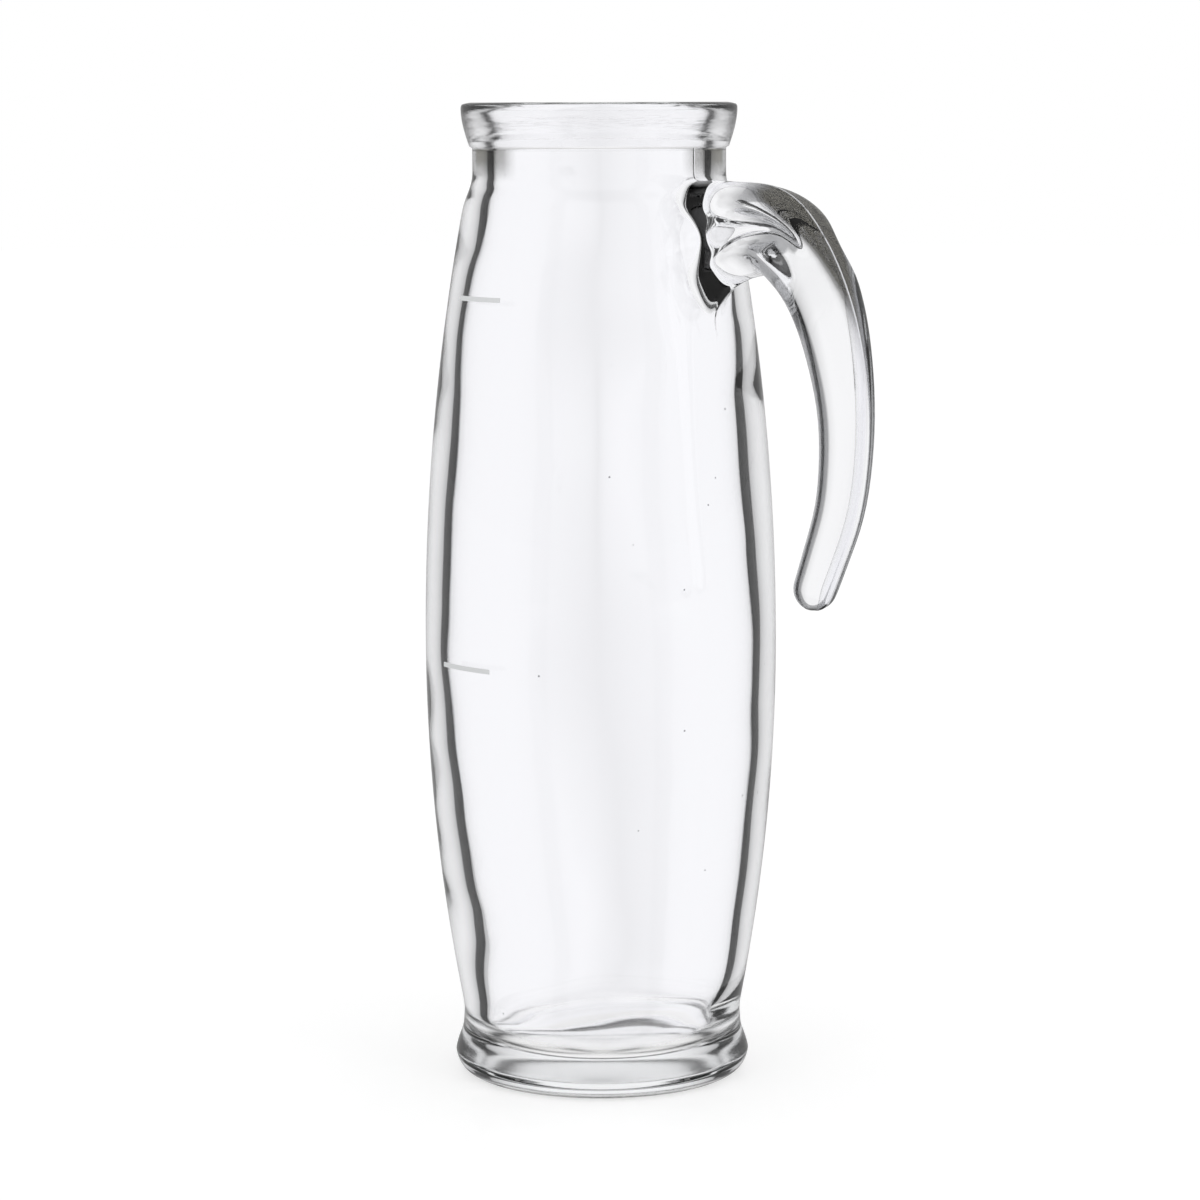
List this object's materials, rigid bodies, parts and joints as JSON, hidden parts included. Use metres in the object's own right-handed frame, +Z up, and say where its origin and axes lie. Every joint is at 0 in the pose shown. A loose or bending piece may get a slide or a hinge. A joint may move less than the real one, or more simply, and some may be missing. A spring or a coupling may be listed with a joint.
{
  "type": "water carafe",
  "caption": "Tall clear glass water carafe with a barrel body, narrow waist above the foot, collared mouth, open hook handle and printed fill lines.",
  "frame": {"origin": "on the body's axis, in the plane that the foot's ring stands on", "axes": "+Z up along the body's axis, towards the mouth; +X from the axis towards the handle; the fill lines are on the -Y side"},
  "size_m": [0.1433, 0.0969, 0.268],
  "materials": {
    "clear_glass": "clear, fire polished",
    "fired_print": "light grey fired enamel"
  },
  "bodies": {
    "root": {"body": "clear_glass", "handle": "clear_glass", "fill_line_half_litre": "fired_print", "fill_line_one_litre": "fired_print"}
  },
  "joints": []
}
